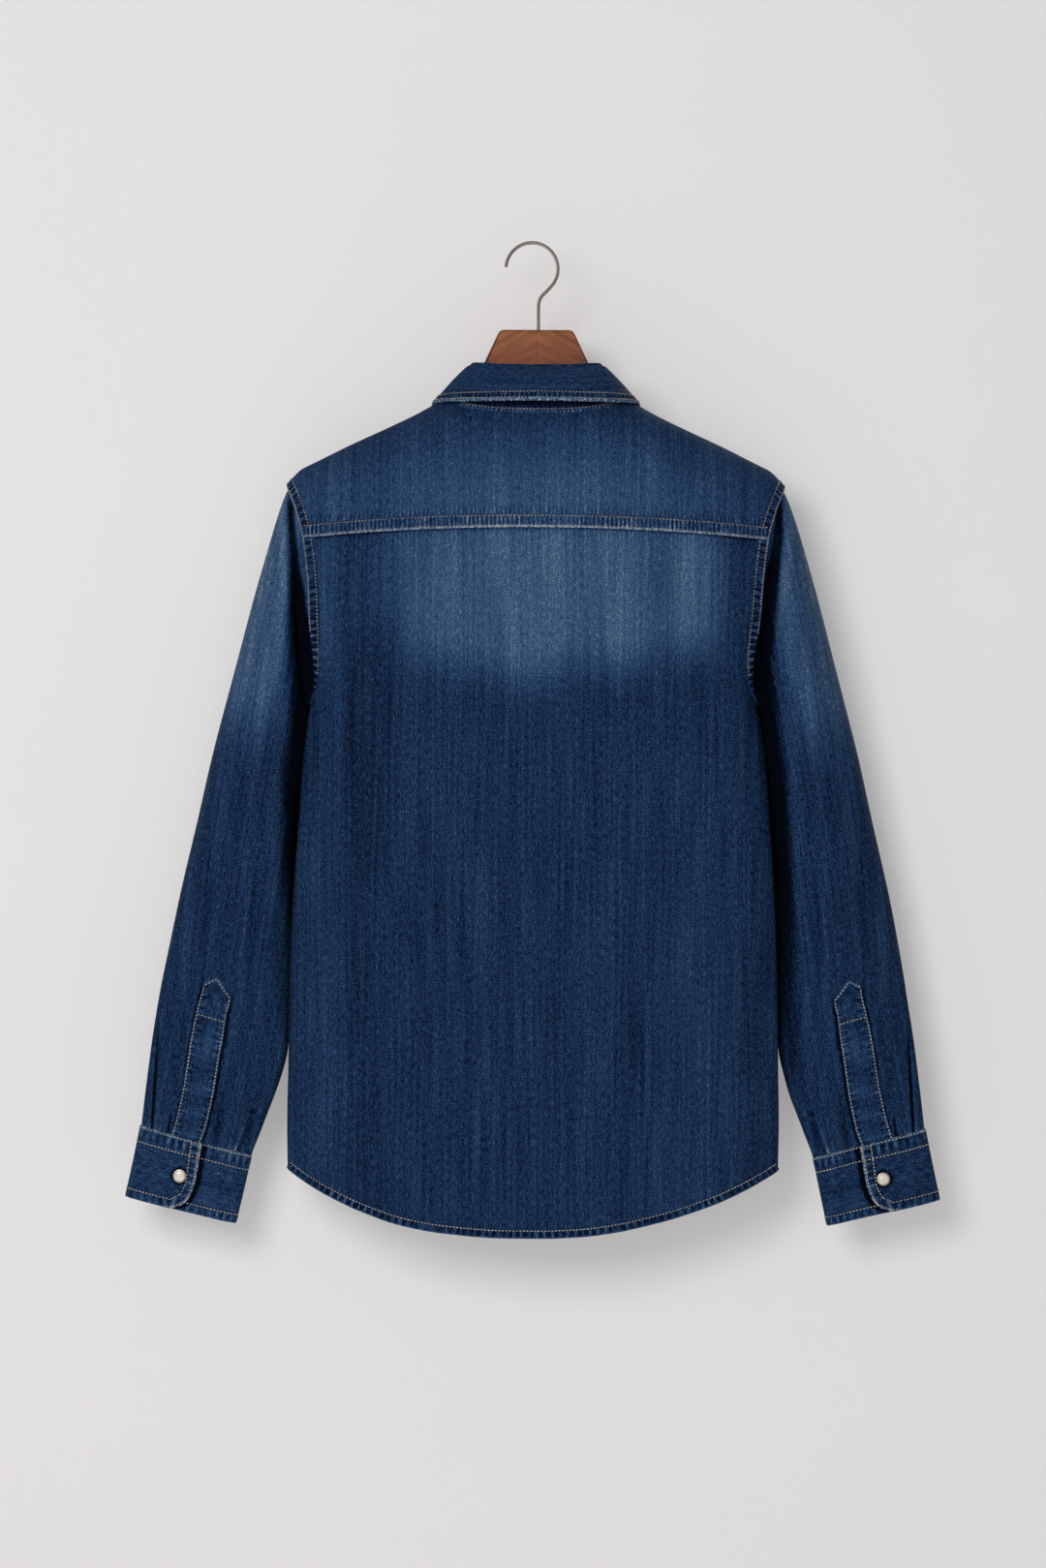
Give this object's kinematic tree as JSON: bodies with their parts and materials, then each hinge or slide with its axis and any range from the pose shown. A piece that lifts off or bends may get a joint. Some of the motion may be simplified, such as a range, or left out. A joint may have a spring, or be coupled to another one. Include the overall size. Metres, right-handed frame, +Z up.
{
  "type": "denim shirt on hanger",
  "caption": "Long-sleeved denim shirt with yoke, collar, curved hem and snapped cuffs, hung closed on a wooden hanger with a wire hook.",
  "frame": {"origin": "hang point, inside the top of the hanger hook's bow", "axes": "+Z up, +Y out of the shirt's back, +X towards the wearer's left"},
  "size_m": [0.7483, 0.1499, 0.9102],
  "materials": {
    "denim": "washed indigo twill",
    "denim_light": "faded indigo twill",
    "wood": "satin varnish",
    "hook": "brushed",
    "snap": "pearl"
  },
  "bodies": {
    "root": {"back_panel": "denim", "yoke": "denim_light", "front_left": "denim", "front_right": "denim", "front_placket": "denim", "collar_stand": "denim_light", "collar_leaf": "denim_light", "sleeve_left": "denim", "sleeve_right": "denim", "sleeve_placket_left": "denim", "sleeve_placket_right": "denim", "cuff_left": "denim", "cuff_right": "denim", "snap_cuff_left": "snap", "snap_cuff_right": "snap", "snap_collar": "snap", "snap_front_1": "snap", "snap_front_2": "snap", "snap_front_3": "snap", "snap_front_4": "snap", "snap_front_5": "snap", "snap_front_6": "snap", "hanger_wood": "wood", "hanger_hook": "hook"}
  },
  "joints": []
}
